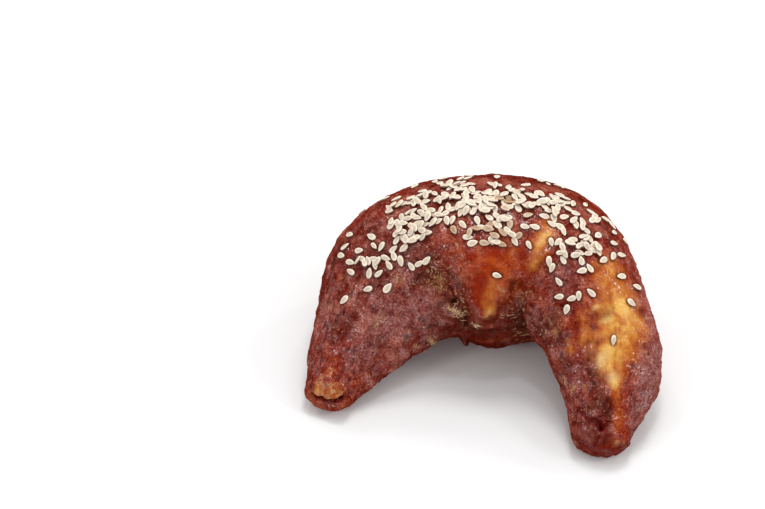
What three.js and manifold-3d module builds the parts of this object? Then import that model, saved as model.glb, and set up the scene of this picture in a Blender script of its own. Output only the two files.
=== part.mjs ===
// A sesame croissant: a plump crescent wrapped in thin dried meat, narrowing to a blunt horn at each end.
// Millimetres, +Z up. It lies on its belly and on both tips, and the horns open towards -Y.
// Every point of its skin is found from two numbers:
//   along   -1 at the left tip, 0 at the middle, 1 at the right tip
//   around  0 on the crest, 90 degrees on the side of the bay, -90 on the back, 180 underneath

import * as THREE from 'three';
import { mergeVertices } from 'three/addons/utils/BufferGeometryUtils.js';
import Module from 'manifold-3d';

const { degToRad } = THREE.MathUtils;

// Sizes of the whole
const MIDDLE = { halfWidth: 28, halfHeight: 25 };
const TIP = { halfWidth: 7.5, halfHeight: 6.5 };
const BELLY_SINK = 0.5; // what the flat rest spots take off the round underside

// The centre line of each half: one bend out of the middle, then a horn that curls on more gently
const LEFT = {
  side: -1, bendRadius: 37, bend: degToRad(63), hornLength: 28, curl: degToRad(18),
  widthTaper: 1.8, heightTaper: 1.5, lift: 2.5,
};
const RIGHT = {
  side: 1, bendRadius: 38.5, bend: degToRad(58), hornLength: 31, curl: degToRad(38),
  widthTaper: 1.25, heightTaper: 1.5, lift: 2.9,
};
const LIFT_SKEW = 0.8; // moves the highest part of a horn's arch towards the middle
const MIDDLE_SOFTNESS = 0.06; // share of a half over which the two tapers blend at the middle

// Broad swellings and hollows of the hand-rolled shape, placed in degrees around
const SWELL_REACH = { along: 0.16, around: 55 };
const SWELLS = [
  { along: -0.95, around: -80, rise: -0.4 },
  { along: -0.75, around: -80, rise: -1.9 },
  { along: -0.5, around: -80, rise: 1.6 },
  { along: -0.12, around: -68, rise: -1.2 },
  { along: 0.25, around: -70, rise: 0.9 },
  { along: 0.5, around: -80, rise: -2.0 },
  { along: 0.75, around: -80, rise: 2.4 },
  { along: -0.25, around: 120, rise: -1.2 },
  { along: 0.25, around: 120, rise: -0.6 },
  { along: 0.5, around: 110, rise: -2.2 },
];

// Creases where the bent horns press against the middle: a valley from one place to another
const CREASES = [
  { from: { along: -0.37, around: 38 }, to: { along: -0.2, around: 100 }, width: 3.2, depth: 1.3 },
  { from: { along: 0.34, around: 62 }, to: { along: 0.4, around: 118 }, width: 3.2, depth: 1.3 },
];

// Slow lumps of the filling under the skin: waves along, waves around, height, phase
const LUMPS = [
  { along: 2.3, around: 1, height: 0.35, phase: 0.4 },
  { along: 4.1, around: 2, height: 0.3, phase: 2.1 },
  { along: 5.7, around: -1, height: 0.22, phase: 4.0 },
  { along: 7.4, around: 3, height: 0.18, phase: 1.2 },
];

// The wrap ends in a small step, and the core shows past it as a blunt nose
const NOSE = [
  { past: 0.3, share: 0.9 },
  { past: 1.6, share: 0.87 },
  { past: 2.8, share: 0.72 },
  { past: 3.6, share: 0.42 },
];
const NOSE_END = 4.0;

// Fineness of the faces
const RINGS = 84;
const RING_POINTS = 44;
const SLAB = 200;

const SKIN = new THREE.MeshStandardMaterial({ color: 0x84483c, roughness: 0.5, metalness: 0 });

// Length of one half's centre line
function halfLength(half) {
  return half.bendRadius * half.bend + half.hornLength;
}

// Place on the centre line seen from above, and the direction in which it runs towards the right tip
function centreLine(along) {
  const half = along < 0 ? LEFT : RIGHT;
  const run = Math.abs(along) * halfLength(half);
  const bent = Math.min(run / half.bendRadius, half.bend);
  const hornRadius = half.hornLength / half.curl;
  const curled = Math.max(0, run - half.bendRadius * half.bend) / hornRadius;
  const turn = bent + curled;
  const out = half.bendRadius * Math.sin(bent) + hornRadius * (Math.sin(turn) - Math.sin(bent));
  const back = half.bendRadius * (1 - Math.cos(bent)) + hornRadius * (Math.cos(bent) - Math.cos(turn));
  return {
    place: new THREE.Vector2(half.side * out, -back),
    heading: new THREE.Vector2(Math.cos(turn), -half.side * Math.sin(turn)),
  };
}

// Share of the way from the middle to a tip, rounded off at the middle so that no ridge shows there
function reachOf(along) {
  const soft = MIDDLE_SOFTNESS;
  return (Math.hypot(Math.min(Math.abs(along), 1), soft) - soft) / (Math.hypot(1, soft) - soft);
}

// Half width, half height and height of the centre above the ground at a place along the crescent
function section(along) {
  const half = along < 0 ? LEFT : RIGHT;
  const reach = reachOf(along);
  const arch = Math.sin(Math.PI * reach ** LIFT_SKEW) ** 2;
  const halfHeight = THREE.MathUtils.lerp(MIDDLE.halfHeight, TIP.halfHeight, reach ** half.heightTaper);
  return {
    halfWidth: THREE.MathUtils.lerp(MIDDLE.halfWidth, TIP.halfWidth, reach ** half.widthTaper),
    halfHeight,
    centreHeight: halfHeight + half.lift * arch - BELLY_SINK,
  };
}

// Smallest turn between two angles in degrees
function angleBetween(a, b) {
  return THREE.MathUtils.euclideanModulo(a - b + 180, 360) - 180;
}

function bell(distance, reach) {
  return Math.exp(-((distance / reach) ** 2));
}

function swelling(along, around) {
  let rise = 0;
  for (const swell of SWELLS) {
    const nearAlong = bell(along - swell.along, SWELL_REACH.along);
    const nearAround = bell(angleBetween(around, swell.around), SWELL_REACH.around);
    rise += swell.rise * nearAlong * nearAround;
  }
  return rise;
}

function lumps(along, around) {
  let rise = 0;
  for (const lump of LUMPS) {
    rise += lump.height * Math.sin(lump.along * along + lump.around * degToRad(around) + lump.phase);
  }
  return rise;
}

// Depth of the creases, measured on the skin laid out flat in millimetres
function creaseDepth(along, around) {
  const perAlong = halfLength(RIGHT);
  const perDegree = degToRad(MIDDLE.halfHeight);
  const place = new THREE.Vector2(along * perAlong, around * perDegree);
  let depth = 0;
  for (const crease of CREASES) {
    const from = new THREE.Vector2(crease.from.along * perAlong, crease.from.around * perDegree);
    const to = new THREE.Vector2(crease.to.along * perAlong, crease.to.around * perDegree);
    const valley = to.clone().sub(from);
    const share = THREE.MathUtils.clamp(place.clone().sub(from).dot(valley) / valley.lengthSq(), 0, 1);
    const distance = place.distanceTo(from.addScaledVector(valley, share));
    depth += crease.depth * bell(distance, crease.width);
  }
  return depth;
}

// A point of the skin
function skinPoint(along, around) {
  const { place, heading } = centreLine(along);
  const { halfWidth, halfHeight, centreHeight } = section(along);
  const sideways = halfWidth * Math.sin(degToRad(around));
  const upwards = halfHeight * Math.cos(degToRad(around));
  const radius = Math.hypot(sideways, upwards);
  const relief = swelling(along, around) + lumps(along, around) - creaseDepth(along, around);
  const grown = 1 + relief / radius;
  return new THREE.Vector3(
    place.x + heading.y * sideways * grown,
    place.y - heading.x * sideways * grown,
    centreHeight + upwards * grown,
  );
}

function ring(along) {
  const points = [];
  for (let i = 0; i < RING_POINTS; i += 1) {
    points.push(skinPoint(along, (360 * i) / RING_POINTS));
  }
  return points;
}

// The rings of the nose past one tip, from the edge of the wrap to the last ring
function noseRings(side) {
  const { heading } = centreLine(side);
  const outward = new THREE.Vector3(heading.x, heading.y, 0).multiplyScalar(side);
  const edge = ring(side);
  const centre = ringCentre(edge);
  return NOSE.map(({ past, share }) => edge.map((point) => (
    centre.clone().lerp(point, share).addScaledVector(outward, past)
  )));
}

function noseEnd(side) {
  const { heading } = centreLine(side);
  const outward = new THREE.Vector3(heading.x, heading.y, 0).multiplyScalar(side);
  return ringCentre(ring(side)).addScaledVector(outward, NOSE_END);
}

function ringCentre(points) {
  const sum = new THREE.Vector3();
  for (const point of points) {
    sum.add(point);
  }
  return sum.divideScalar(points.length);
}

// All rings in order from the left nose to the right nose
function allRings() {
  const rings = noseRings(-1).reverse();
  for (let i = 0; i <= RINGS; i += 1) {
    rings.push(ring((2 * i) / RINGS - 1));
  }
  rings.push(...noseRings(1));
  return rings;
}

// One closed skin: bands between the rings and a fan at each nose
function skinGeometry() {
  const rings = allRings();
  const points = rings.flat();
  const faces = [];
  const index = (r, i) => r * RING_POINTS + (i % RING_POINTS);
  for (let r = 0; r + 1 < rings.length; r += 1) {
    for (let i = 0; i < RING_POINTS; i += 1) {
      faces.push(index(r, i), index(r, i + 1), index(r + 1, i));
      faces.push(index(r, i + 1), index(r + 1, i + 1), index(r + 1, i));
    }
  }
  const leftEnd = points.push(noseEnd(-1)) - 1;
  const rightEnd = points.push(noseEnd(1)) - 1;
  const last = rings.length - 1;
  for (let i = 0; i < RING_POINTS; i += 1) {
    faces.push(leftEnd, index(0, i + 1), index(0, i));
    faces.push(rightEnd, index(last, i), index(last, i + 1));
  }
  const geometry = new THREE.BufferGeometry().setFromPoints(points);
  geometry.setIndex(faces);
  return geometry;
}

// The half space below the ground, as a closed box
function groundSlab() {
  return new THREE.BoxGeometry(SLAB, SLAB, SLAB).translate(0, 0, -SLAB / 2);
}

const wasm = await Module();
wasm.setup();

function toSolid(geometry) {
  const bare = geometry.clone();
  bare.deleteAttribute('normal');
  bare.deleteAttribute('uv');
  const merged = mergeVertices(bare);
  return new wasm.Manifold(new wasm.Mesh({
    numProp: 3,
    vertProperties: new Float32Array(merged.attributes.position.array),
    triVerts: new Uint32Array(merged.index.array),
  }));
}

function toGeometry(solid) {
  const mesh = solid.getMesh();
  const geometry = new THREE.BufferGeometry();
  geometry.setAttribute('position', new THREE.BufferAttribute(mesh.vertProperties, 3));
  geometry.setIndex(new THREE.BufferAttribute(mesh.triVerts, 1));
  return geometry;
}

// Puts the middle of the footprint over the origin
function centreOverOrigin(geometry) {
  geometry.computeBoundingBox();
  const middle = geometry.boundingBox.getCenter(new THREE.Vector3());
  return geometry.translate(-middle.x, -middle.y, -geometry.boundingBox.min.z);
}

const body = toSolid(skinGeometry()).subtract(toSolid(groundSlab()));
const croissant = new THREE.Mesh(centreOverOrigin(toGeometry(body)), SKIN);
croissant.name = 'croissant';

const part = new THREE.Group();
part.add(croissant);

export default part;
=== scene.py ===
"""Looks of a croissant wrapped in thin dried meat and strewn with sesame seeds.

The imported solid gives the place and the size. The skin is the same form, made again much finer from the
same named sizes, with creases, wrinkles, fibres and pits, and painted by soft patches of tone. Places on the
skin are given by two numbers, as in the solid:
    along   -1 at the left tip, 0 at the middle, 1 at the right tip
    around  degrees: 0 on the crest, 90 on the side of the bay, -90 on the back, 180 underneath
Forms are worked out in millimetres and turned into metres where a mesh is made.
"""

import functools
import itertools
import math

import bpy
import numpy as np
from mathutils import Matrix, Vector


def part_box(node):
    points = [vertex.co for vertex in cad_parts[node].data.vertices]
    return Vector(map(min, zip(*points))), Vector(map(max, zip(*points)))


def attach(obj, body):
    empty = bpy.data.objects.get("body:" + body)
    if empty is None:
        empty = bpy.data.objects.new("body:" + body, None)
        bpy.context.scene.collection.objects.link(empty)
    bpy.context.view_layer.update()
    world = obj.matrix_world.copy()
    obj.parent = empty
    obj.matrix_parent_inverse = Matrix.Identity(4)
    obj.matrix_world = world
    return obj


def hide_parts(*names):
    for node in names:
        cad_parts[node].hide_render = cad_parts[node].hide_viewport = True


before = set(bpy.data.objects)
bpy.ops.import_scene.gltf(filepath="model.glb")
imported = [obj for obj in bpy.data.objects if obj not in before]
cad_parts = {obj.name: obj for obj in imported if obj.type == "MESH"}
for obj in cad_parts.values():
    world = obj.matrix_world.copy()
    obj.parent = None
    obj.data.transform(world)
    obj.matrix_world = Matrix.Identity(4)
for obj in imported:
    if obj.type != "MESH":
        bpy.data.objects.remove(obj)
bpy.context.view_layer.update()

MM = 0.001
NODE = "croissant"

# ---------------------------------------------------------------- form, as in the solid

MIDDLE = {"half_width": 28.0, "half_height": 25.0}
TIP = {"half_width": 7.5, "half_height": 6.5}
BELLY_SINK = 0.5
LEFT = {"side": -1, "bend_radius": 37.0, "bend": math.radians(63), "horn_length": 28.0,
        "curl": math.radians(18), "width_taper": 1.8, "height_taper": 1.5, "lift": 2.5}
RIGHT = {"side": 1, "bend_radius": 38.5, "bend": math.radians(58), "horn_length": 31.0,
         "curl": math.radians(38), "width_taper": 1.25, "height_taper": 1.5, "lift": 2.9}
LIFT_SKEW = 0.8
MIDDLE_SOFTNESS = 0.06

# broad swellings and hollows: along, around, rise
SWELL_REACH = (0.16, 55.0)
SWELLS = [(-0.95, -80, -0.4), (-0.75, -80, -1.9), (-0.5, -80, 1.6), (-0.12, -68, -1.2), (0.25, -70, 0.9),
          (0.5, -80, -2.0), (0.75, -80, 2.4), (-0.25, 120, -1.2), (0.25, 120, -0.6), (0.5, 110, -2.2)]
# creases: start, end, width, depth
CREASES = [((-0.37, 38), (-0.2, 100), 3.2, 1.3), ((0.34, 62), (0.4, 118), 3.2, 1.3)]
# slow lumps: waves along, waves around, height, phase
LUMPS = [(2.3, 1, 0.35, 0.4), (4.1, 2, 0.3, 2.1), (5.7, -1, 0.22, 4.0), (7.4, 3, 0.18, 1.2)]
# the blunt nose past the last ring of the wrap: distance past it, share of the ring's size
NOSE = [(0.0, 1.0), (1.0, 0.96), (2.2, 0.84), (3.2, 0.6), (3.8, 0.3), (4.0, 0.02)]
NOSE_STEPS = np.array([0.0, 0.25, 0.55, 0.9, 1.3, 1.7, 2.1, 2.5, 2.85, 3.15, 3.4, 3.6, 3.75, 3.88, 3.96])

MM_ALONG = RIGHT["bend_radius"] * RIGHT["bend"] + RIGHT["horn_length"]
MM_AROUND = math.radians(MIDDLE["half_height"])


def per_half(along, key):
    return np.where(along < 0, LEFT[key], RIGHT[key])


def bell(distance, reach):
    return np.exp(-((distance / reach) ** 2))


def smooth_step(low, high, value):
    share = np.clip((value - low) / (high - low), 0, 1)
    return share * share * (3 - 2 * share)


def turn_between(a, b):
    """Smallest turn between angles in degrees."""
    return (a - b + 180) % 360 - 180


def patch(along, around, place):
    """A soft patch. Its place is along, around, reach along, reach around in degrees, and strength."""
    at, degrees, reach_along, reach_around, strength = place
    return strength * bell(along - at, reach_along) * bell(turn_between(around, degrees), reach_around)


def strongest(along, around, places):
    """The strongest of several soft patches at each point."""
    return np.max([patch(along, around, place) for place in places], axis=0)


def distance_to(place, points):
    return np.linalg.norm(points - place, axis=-1)


def centre_line(along):
    """Place on the centre line seen from above, and its direction towards the right tip."""
    radius, bend, horn, curl, side = (
        per_half(along, key) for key in ("bend_radius", "bend", "horn_length", "curl", "side")
    )
    run = np.abs(along) * (radius * bend + horn)
    bent = np.minimum(run / radius, bend)
    horn_radius = horn / curl
    turn = bent + np.maximum(0, run - radius * bend) / horn_radius
    out = radius * np.sin(bent) + horn_radius * (np.sin(turn) - np.sin(bent))
    back = radius * (1 - np.cos(bent)) + horn_radius * (np.cos(bent) - np.cos(turn))
    return side * out, -back, np.cos(turn), -side * np.sin(turn)


def section(along):
    """Half width, half height and height of the centre at a place along the crescent."""
    soft = MIDDLE_SOFTNESS
    reach = (np.hypot(np.minimum(np.abs(along), 1), soft) - soft) / (math.hypot(1, soft) - soft)
    arch = np.sin(np.pi * reach**LIFT_SKEW) ** 2
    wide, high = (
        MIDDLE[size] + (TIP[size] - MIDDLE[size]) * reach ** per_half(along, taper)
        for size, taper in (("half_width", "width_taper"), ("half_height", "height_taper"))
    )
    return wide, high, high + per_half(along, "lift") * arch - BELLY_SINK


def line_distance(along, around, start, end):
    """Distance in millimetres, on the skin laid out flat, to the line between two places."""
    x, y = (along - start[0]) * MM_ALONG, (around - start[1]) * MM_AROUND
    dx, dy = (end[0] - start[0]) * MM_ALONG, (end[1] - start[1]) * MM_AROUND
    share = np.clip((x * dx + y * dy) / (dx * dx + dy * dy), 0, 1)
    return np.hypot(x - share * dx, y - share * dy)


def path_distance(along, around, places):
    """The same, to the nearest part of a path through several places."""
    return np.min([line_distance(along, around, a, b) for a, b in zip(places, places[1:])], axis=0)


def form_relief(along, around):
    """The solid's own relief: swellings, lumps and the two creases."""
    rise = np.zeros(np.broadcast(along, around).shape)
    for at, degrees, height in SWELLS:
        rise = rise + patch(along, around, (at, degrees, *SWELL_REACH, height))
    for waves_along, waves_around, height, phase in LUMPS:
        rise = rise + height * np.sin(waves_along * along + waves_around * np.radians(around) + phase)
    for start, end, width, depth in CREASES:
        rise = rise - depth * bell(line_distance(along, around, start, end), width)
    return rise


def skin_point(along, around, extra=0.0):
    """Points of the skin before it is moved over the solid. extra is relief added to the form's own."""
    along, around = np.broadcast_arrays(np.asarray(along, float), np.asarray(around, float))
    around = turn_between(around, 0.0)
    x, y, heading_x, heading_y = centre_line(along)
    wide, high, centre_height = section(along)
    sideways = wide * np.sin(np.radians(around))
    upwards = high * np.cos(np.radians(around))
    grown = 1 + (form_relief(along, around) + extra) / np.hypot(sideways, upwards)
    sideways, upwards = sideways * grown, upwards * grown
    return np.stack([x + heading_y * sideways, y - heading_x * sideways, centre_height + upwards], -1)


def tip_axes(side):
    """Middle of one tip's last ring, the way out past it, and the way across it."""
    ring = skin_point(float(side), np.arange(0, 360, 4.0))
    _, _, heading_x, heading_y = centre_line(np.array(float(side)))
    outward = side * np.array([float(heading_x), float(heading_y), 0.0])
    return ring.mean(0), outward, np.array([-outward[1], outward[0], 0.0])


def nose_points(side, past, around, extra=0.0):
    """Points of the nose past one tip, at distances past the last ring: (distances, around, 3)."""
    ring = skin_point(float(side), around, extra)
    centre, outward, _ = tip_axes(side)
    past = np.atleast_1d(np.asarray(past, float))
    size = np.interp(past, *np.array(NOSE).T)
    return centre + size[:, None, None] * (ring - centre) + past[:, None, None] * outward


def form_shift():
    """What moves the form over the solid: its footprint's middle goes to the middle of the CAD box."""
    around = np.arange(0, 360, 4.0)
    body = skin_point(np.linspace(-1, 1, 241)[:, None], around[None])
    parts = [body] + [nose_points(side, NOSE_STEPS, around) for side in (-1, 1)]
    points = np.concatenate([part.reshape(-1, 3) for part in parts])
    low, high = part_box(NODE)
    shift = (np.array(low) + np.array(high)) / 2 / MM - (points.min(0) + points.max(0)) / 2
    shift[2] = 0.0
    return shift


# ---------------------------------------------------------------- noise

GRADIENTS = 256
NOISE_GAIN = 1.6  # brings gradient noise to about -1 to 1
LAYER_STEP = 2.03  # how much finer each layer is than the one before
RIDGE_SHARPNESS = 1.8


def smooth_noise(points, seed):
    """Gradient noise, roughly from -1 to 1, with one cell to each unit. points is (..., 3)."""
    random = np.random.default_rng(seed)
    gradients = random.normal(size=(GRADIENTS, 3))
    gradients /= np.linalg.norm(gradients, axis=1)[:, None]
    shuffled = random.permutation(GRADIENTS)
    cell = np.floor(points).astype(int)
    part = points - cell
    fade = part**3 * (part * (part * 6 - 15) + 10)
    total = np.zeros(points.shape[:-1])
    for corner in itertools.product((0, 1), repeat=3):
        at = (cell + corner) % GRADIENTS
        pick = shuffled[(shuffled[(shuffled[at[..., 0]] + at[..., 1]) % GRADIENTS] + at[..., 2]) % GRADIENTS]
        slope = ((part - corner) * gradients[pick]).sum(-1)
        total += slope * np.prod(np.where(corner, fade, 1 - fade), axis=-1)
    return total * NOISE_GAIN


def layered_noise(points, seed, layers=3, gain=0.5):
    """Noise with finer and fainter layers on top."""
    total, height, size = 0.0, 1.0, 1.0
    for layer in range(layers):
        total = total + height * smooth_noise(points * size, seed + layer)
        height *= gain
        size *= LAYER_STEP
    return total


def ridged_noise(points, seed, layers=2):
    """Noise that is 1 along thin crooked ridges and falls away from them."""
    return 1 - np.abs(layered_noise(points, seed, layers)) * RIDGE_SHARPNESS


# ---------------------------------------------------------------- tones on the skin

# Soft patches of each tone: along, around, reach along, reach around in degrees, strength
PATCHES = {
    "amber": [
        (0.61, -18, 0.09, 20, 0.5), (0.72, -14, 0.1, 22, 0.65), (0.8, 1, 0.055, 14, 0.65),
        (0.645, -23, 0.035, 10, 0.7), (0.67, -4, 0.04, 8, 0.5), (0.62, 4, 0.012, 5, 0.3),
        (0.855, -12, 0.025, 8, 0.5), (0.7, 22, 0.08, 8, 0.4), (0.71, 46, 0.035, 6, 0.4),
        (0.5, -16, 0.06, 16, 0.35), (0.67, -42, 0.05, 7, 0.3), (0.62, 56, 0.015, 4, 0.4),
        (0.085, 76, 0.09, 7, 0.6), (0.06, 65, 0.09, 9, 0.3), (0.14, 33, 0.05, 6, 0.25),
        (-0.68, -34, 0.02, 5, 0.15), (0.87, 36, 0.01, 3, 0.4), (-0.39, -28, 0.03, 6, 0.4),
        (0.55, -118, 0.07, 16, 0.5), (-0.42, -122, 0.05, 18, 0.4),
    ],
    "cream": [
        (0.8, 7, 0.028, 8, 0.75), (0.85, -6, 0.018, 7, 0.5), (0.645, -24, 0.03, 7, 0.45),
        (0.665, -2, 0.015, 5, 0.4), (0.085, 78, 0.045, 3, 0.42), (0.625, 5, 0.008, 4, 0.35),
    ],
    "orange": [
        (0.0, 44, 0.28, 20, 0.95), (0.0, 68, 0.28, 18, 0.95), (0.52, -16, 0.1, 24, 0.8),
        (0.66, 34, 0.1, 14, 0.6), (0.63, 16, 0.08, 14, 0.5), (0.3, 24, 0.08, 20, 0.4),
        (-0.22, 28, 0.1, 12, 0.45), (0.47, 50, 0.05, 10, 0.5), (0.0, -52, 0.45, 26, 0.5),
        (-0.97, -10, 0.05, 14, 0.7), (0.86, -34, 0.05, 7, 0.4), (0.9, -16, 0.035, 7, 0.6),
        (0.94, -28, 0.03, 9, 0.6), (-0.97, 67, 0.03, 8, 0.7), (-0.97, 82, 0.04, 20, 0.35),
        (0.05, 0, 0.4, 14, 0.25), (0.12, 112, 0.16, 4, 0.6), (0.2, 48, 0.12, 20, 0.7),
    ],
    # the mauve tone: painted sheen, the pale mauve that a broad soft reflection lays over the red wrap
    "mauve_sheen": [
        (-0.60, 52, 0.09, 10, 0.9), (-0.74, 36, 0.1, 16, 0.7), (-0.86, 30, 0.06, 20, 0.45),
        (-0.7, 14, 0.04, 10, 0.5), (-0.78, -45, 0.06, 14, 0.8), (-0.85, -28, 0.05, 10, 0.4),
        (0.8, -74, 0.2, 28, 1.0), (0.44, 20, 0.06, 12, 0.5), (0.8, -48, 0.1, 8, 0.6),
        (0.5, -60, 0.14, 10, 0.7), (0.325, 17, 0.015, 8, 0.55), (-0.62, 70, 0.1, 6, 0.5),
        (-0.6, 88, 0.1, 10, 0.3), (0.56, 56, 0.03, 10, 0.35), (0.82, 46, 0.06, 20, 0.4),
        (0.92, 60, 0.06, 20, 0.3), (-0.1, -130, 0.16, 22, 0.4),
    ],
    # dark: partly the wrap's own darker colour, partly painted shade in the creases, grooves and folds
    "dark": [
        (-0.50, 37, 0.08, 5, 0.6), (-0.34, 62, 0.1, 12, 0.4), (0.57, 50, 0.04, 14, 0.55),
        (-0.44, 50, 0.08, 10, 0.4), (0.55, 74, 0.1, 12, 0.45), (0.36, 84, 0.06, 24, 0.6),
        (0.25, 55, 0.02, 4, 0.7), (0.66, 54, 0.05, 8, 0.4), (0.78, 24, 0.012, 4, 0.5),
        (0.96, -4, 0.04, 20, 0.3), (-0.36, 70, 0.045, 4, 1.0), (-0.62, 76, 0.16, 12, 0.35),
        (0.34, 40, 0.05, 20, 0.3), (-0.54, 2, 0.1, 22, 0.4), (-0.45, 32, 0.1, 8, 0.3),
        (-0.8, 56, 0.05, 16, 0.15), (-0.9, 40, 0.02, 16, 0.25), (-0.6, -52, 0.06, 6, 0.6),
    ],
    # ember: the wrap's deep red; its patches low on the belly and under the horns are painted shade where the
    # skin faces down
    "ember": [
        (0.02, 97, 0.34, 8, 0.8), (0.02, 106, 0.2, 3, 0.8), (0.22, 74, 0.06, 8, 0.6), (0.0, 121, 0.5, 6, 0.9),
        (0.0, 108, 0.3, 6, 0.5), (0.7, 112, 0.3, 12, 0.5), (-0.7, 116, 0.26, 12, 0.5),
        (0.75, -104, 0.3, 12, 0.5), (-0.75, -78, 0.3, 9, 0.45), (0.0, -125, 0.7, 18, 0.35),
        (0.1, 85, 0.18, 3.5, 0.8), (-0.3, 96, 0.16, 18, 0.6), (0.4, 100, 0.14, 24, 0.5),
        (0.0, 128, 0.5, 18, 0.5), (-0.44, 22, 0.06, 12, 0.3), (0.0, -2, 0.34, 10, 0.25),
        (0.95, 4, 0.05, 40, 0.4), (-0.84, -8, 0.05, 14, 0.5), (0.26, 60, 0.07, 14, 0.6),
        (-0.24, 62, 0.08, 16, 0.35), (0.0, -38, 0.4, 15, 0.55), (-0.45, 98, 0.16, 13, 0.6),
        (-0.2, 82, 0.12, 8, 0.4), (-0.9, 66, 0.03, 20, 0.3), (-0.7, -28, 0.05, 7, 0.35),
        (-0.55, -36, 0.06, 7, 0.4),
    ],
    "blood": [
        (0.64, 1, 0.012, 5, 0.3), (0.955, 46, 0.01, 9, 0.5), (-0.78, -8, 0.01, 3, 0.5),
    ],
    "tan": [
        (-0.43, 48, 0.035, 5, 0.3), (-0.6, 24, 0.02, 4, 0.3), (0.86, 58, 0.015, 5, 0.4),
        (0.8, 70, 0.02, 4, 0.3), (-0.24, 29, 0.012, 2.5, 0.3), (-0.78, -38, 0.012, 8, 0.3),
        (-0.76, 32, 0.03, 4, 0.2),
    ],
}
# Streaks: the places that they run through, half width in millimetres, strength
STREAKS = {
    "amber": [
        ([(0.235, 2), (0.25, 14), (0.27, 25), (0.3, 36)], 3.0, 0.45),
        ([(0.87, -13), (0.93, -27), (0.965, -42)], 1.4, 0.22),
    ],
    "cream": [([(0.25, 8), (0.262, 19)], 1.6, 0.3)],
    "orange": [
        (
            [(0.87, -12), (0.9, -18), (0.93, -27), (0.955, -36), (0.975, -46), (0.99, -60), (1.0, -72)],
            3.0,
            0.95,
        ),
        ([(0.72, -33), (0.8, -25), (0.87, -15)], 2.4, 0.9),
        ([(0.235, 0), (0.26, 16), (0.29, 32), (0.32, 52)], 4.2, 0.6),
    ],
    "tan": [
        ([(-0.44, 70), (-0.40, 76), (-0.33, 82), (-0.26, 87)], 0.9, 0.7),
        ([(-0.62, 92), (-0.6, 98), (-0.55, 112)], 0.7, 0.5),
        ([(-0.69, 85), (-0.67, 95)], 0.5, 0.3),
        ([(0.12, 61), (0.2, 61.5)], 0.5, 0.3),
        ([(-0.15, 96), (-0.1, 91.5), (-0.04, 90)], 0.5, 0.4),
    ],
    "ember": [
        ([(0.625, -11), (0.645, -5), (0.655, 3), (0.64, 12)], 1.1, 0.35),
        ([(0.93, -12), (0.91, 4), (0.87, 20), (0.81, 30)], 1.8, 0.5),
    ],
    # painted shade along grooves and the crack of the right tip
    "dark": [
        ([(-0.5, 66), (-0.42, 65), (-0.37, 68), (-0.31, 73)], 1.4, 0.5),
        ([(0.92, -5), (0.96, -12), (0.99, -22)], 1.0, 0.4),
        ([(-0.38, 86), (-0.3, 90), (-0.2, 91)], 1.0, 0.5),
        ([(-0.2, 99), (0.05, 100), (0.28, 98)], 1.0, 0.4),
    ],
    "blood": [([(0.95, 52), (0.975, 38), (0.993, 22), (1.0, 4), (1.0, -10)], 0.75, 0.8)],
}
# Small spots whose edges don't wander: along, around, reach in millimetres, tone, strength
SPOTS = [
    (-0.788, 4, 1.5, "blood", 1.0), (-0.975, -2, 1.3, "amber", 0.3), (-0.945, -2, 1.2, "amber", 0.2),
    (-0.975, -2, 2.2, "orange", 0.8), (-0.93, -1, 1.6, "orange", 0.6),
]
WARP_SIZE = 6.0  # millimetres from one bay of a patch's ragged edge to the next
WARP = (0.014, 3.5)  # how far an edge wanders: along, and degrees around
BREAK_SIZE = 2.6  # millimetres from one break in a half-strong tone to the next
BREAK_DEPTH = 0.7


def raise_masks(masks, **levels):
    """Raise each named mask to at least its level."""
    for tone, level in levels.items():
        masks[tone] = np.maximum(masks[tone], level)


def tone_masks(along, around, points):
    """How strongly each tone shows, from 0 to 1, at each point of the skin."""
    wander = points / WARP_SIZE
    warped_along = along + WARP[0] * layered_noise(wander, seed=11)
    warped_around = turn_between(around + WARP[1] * layered_noise(wander, seed=17), 0.0)
    breaks = layered_noise(points / BREAK_SIZE, seed=23)
    masks = {}
    for tone, patches in PATCHES.items():
        clear = np.ones(along.shape)
        for place in patches:
            clear = clear * (1 - patch(warped_along, warped_around, place))
        for places, half_width, strength in STREAKS.get(tone, ()):
            near = bell(path_distance(warped_along, warped_around, places), half_width)
            clear = clear * (1 - strength * near)
        cover = 1 - clear
        masks[tone] = np.clip(cover + BREAK_DEPTH * breaks * cover * (1 - cover), 0, 1)
    for at, degrees, reach, tone, strength in SPOTS:
        mark = bell(distance_to(skin_point(at, degrees), points), reach)
        raise_masks(masks, **{tone: strength * mark})
    return masks


# ---------------------------------------------------------------- fine relief of the skin

FIBRE = (5.0, 0.8)  # length and width of the fibres in millimetres
FIBRE_RADIUS = 17.0  # their width is true on a tube of this radius
# sizes in millimetres of what makes up the relief
SLOW_SIZE = 8.5
WRINKLE_SIZE = 3.4
PUCKER_SIZE = 1.9
PIT_SIZE = 2.1
GROOVE_BEND = 3.0
GROOVE_WANDER = (0.008, 2.0)  # how far a groove wanders: along, and degrees around
CREASE_SPREAD = 1.7  # how much wider than a crease its puckers reach
# smooth glossy stretches, and places where the wrap is puckered: the numbers of a patch
SMOOTH = [
    (0.02, 52, 0.26, 34, 1.0), (0.7, -12, 0.17, 36, 0.8), (0.05, -45, 0.5, 40, 0.6),
    (0.02, 105, 0.32, 20, 0.9),
]
PUCKERS = [(0.56, 64, 0.09, 16, 0.8), (-0.47, 46, 0.08, 13, 0.8)]
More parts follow.
